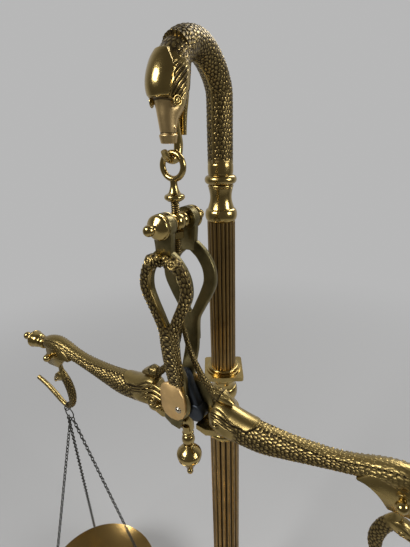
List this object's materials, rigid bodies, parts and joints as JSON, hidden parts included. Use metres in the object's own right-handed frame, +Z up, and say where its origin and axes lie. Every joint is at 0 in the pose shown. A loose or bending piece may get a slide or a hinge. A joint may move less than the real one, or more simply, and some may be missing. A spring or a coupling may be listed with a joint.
{
  "type": "apothecary scale",
  "caption": "Ornate brass beam scale: reeded column with a dolphin crook, lyre suspension, dolphin arms, knife edges, beast hooks and pans on chains.",
  "frame": {"origin": "centre of the foot's underside, on the column's axis", "axes": "+Z up the column; +X along the level beam; the crook reaches out along -Y"},
  "size_m": [0.528, 0.2611, 0.78],
  "materials": {
    "turned_brass": "polished, lightly tarnished",
    "reeded_brass": "satin with dark grooves",
    "cast_brass": "cast scales with dark crevices and bright high spots",
    "polished_brass": "smooth and bright",
    "pan_brass": "polished inside",
    "steel": "dark blue-grey, hardened",
    "iron": "dark grey",
    "felt": "matt green"
  },
  "bodies": {
    "stand": {"base_felt": "felt", "base_foot": "turned_brass", "base_weight": "iron", "tie_rod": "steel", "tie_nut": "steel", "column_socle": "turned_brass", "lower_shaft": "reeded_brass", "capital": "turned_brass", "square_plate": "turned_brass", "plate_ring": "turned_brass", "upper_shaft": "reeded_brass", "top_collar": "turned_brass", "neck": "cast_brass", "dolphin_head": "polished_brass", "support_hook": "polished_brass"},
    "eye": {"eye_bolt": "turned_brass", "rod_nut": "turned_brass"},
    "suspension": {"cross_spindle": "turned_brass", "cross_barrel": "turned_brass", "front_cap": "turned_brass", "rear_cap": "turned_brass", "front_cheek": "cast_brass", "rear_cheek": "cast_brass", "bearing_plate": "steel", "bottom_finial": "turned_brass"},
    "beam": {"left_arm": "cast_brass", "right_arm": "cast_brass", "centre_knife": "steel", "needle": "cast_brass", "left_end_finial": "turned_brass", "right_end_finial": "turned_brass", "left_end_knife": "steel", "right_end_knife": "steel"},
    "left_hook": {"left_hook": "cast_brass"},
    "right_hook": {"right_hook": "cast_brass"},
    "left_pan": {"left_hook_ring": "iron", "left_chain_ring": "iron", "left_chain_a": "iron", "left_chain_b": "iron", "left_chain_c": "iron", "left_pan": "pan_brass"},
    "right_pan": {"right_hook_ring": "iron", "right_chain_ring": "iron", "right_chain_a": "iron", "right_chain_b": "iron", "right_chain_c": "iron", "right_pan": "pan_brass"}
  },
  "joints": [
    {"name": "hang_swing", "type": "hinge", "parent": "stand", "child": "eye", "pos_m": [0, -0.07, 0.6923], "axis": [1, 0, 0], "range_deg": [-10, 2]},
    {"name": "suspension_swivel", "type": "hinge", "parent": "eye", "child": "suspension", "pos_m": [0, -0.07, 0.642], "axis": [0, 0, 1], "range_deg": [-10, 10]},
    {"name": "beam_tilt", "type": "hinge", "parent": "suspension", "child": "beam", "pos_m": [0, -0.07, 0.474], "axis": [0, 1, 0], "range_deg": [-4, 4]},
    {"name": "left_hook_swing", "type": "hinge", "parent": "beam", "child": "left_hook", "pos_m": [-0.18, -0.07, 0.474], "axis": [0, 1, 0], "range_deg": [-5, 5]},
    {"name": "right_hook_swing", "type": "hinge", "parent": "beam", "child": "right_hook", "pos_m": [0.18, -0.07, 0.474], "axis": [0, 1, 0], "range_deg": [-5, 5]},
    {"name": "left_pan_swing", "type": "hinge", "parent": "left_hook", "child": "left_pan", "pos_m": [-0.18, -0.07, 0.397], "axis": [1, 0, 0], "range_deg": [-5, 5]},
    {"name": "right_pan_swing", "type": "hinge", "parent": "right_hook", "child": "right_pan", "pos_m": [0.18, -0.07, 0.397], "axis": [1, 0, 0], "range_deg": [-5, 5]}
  ]
}
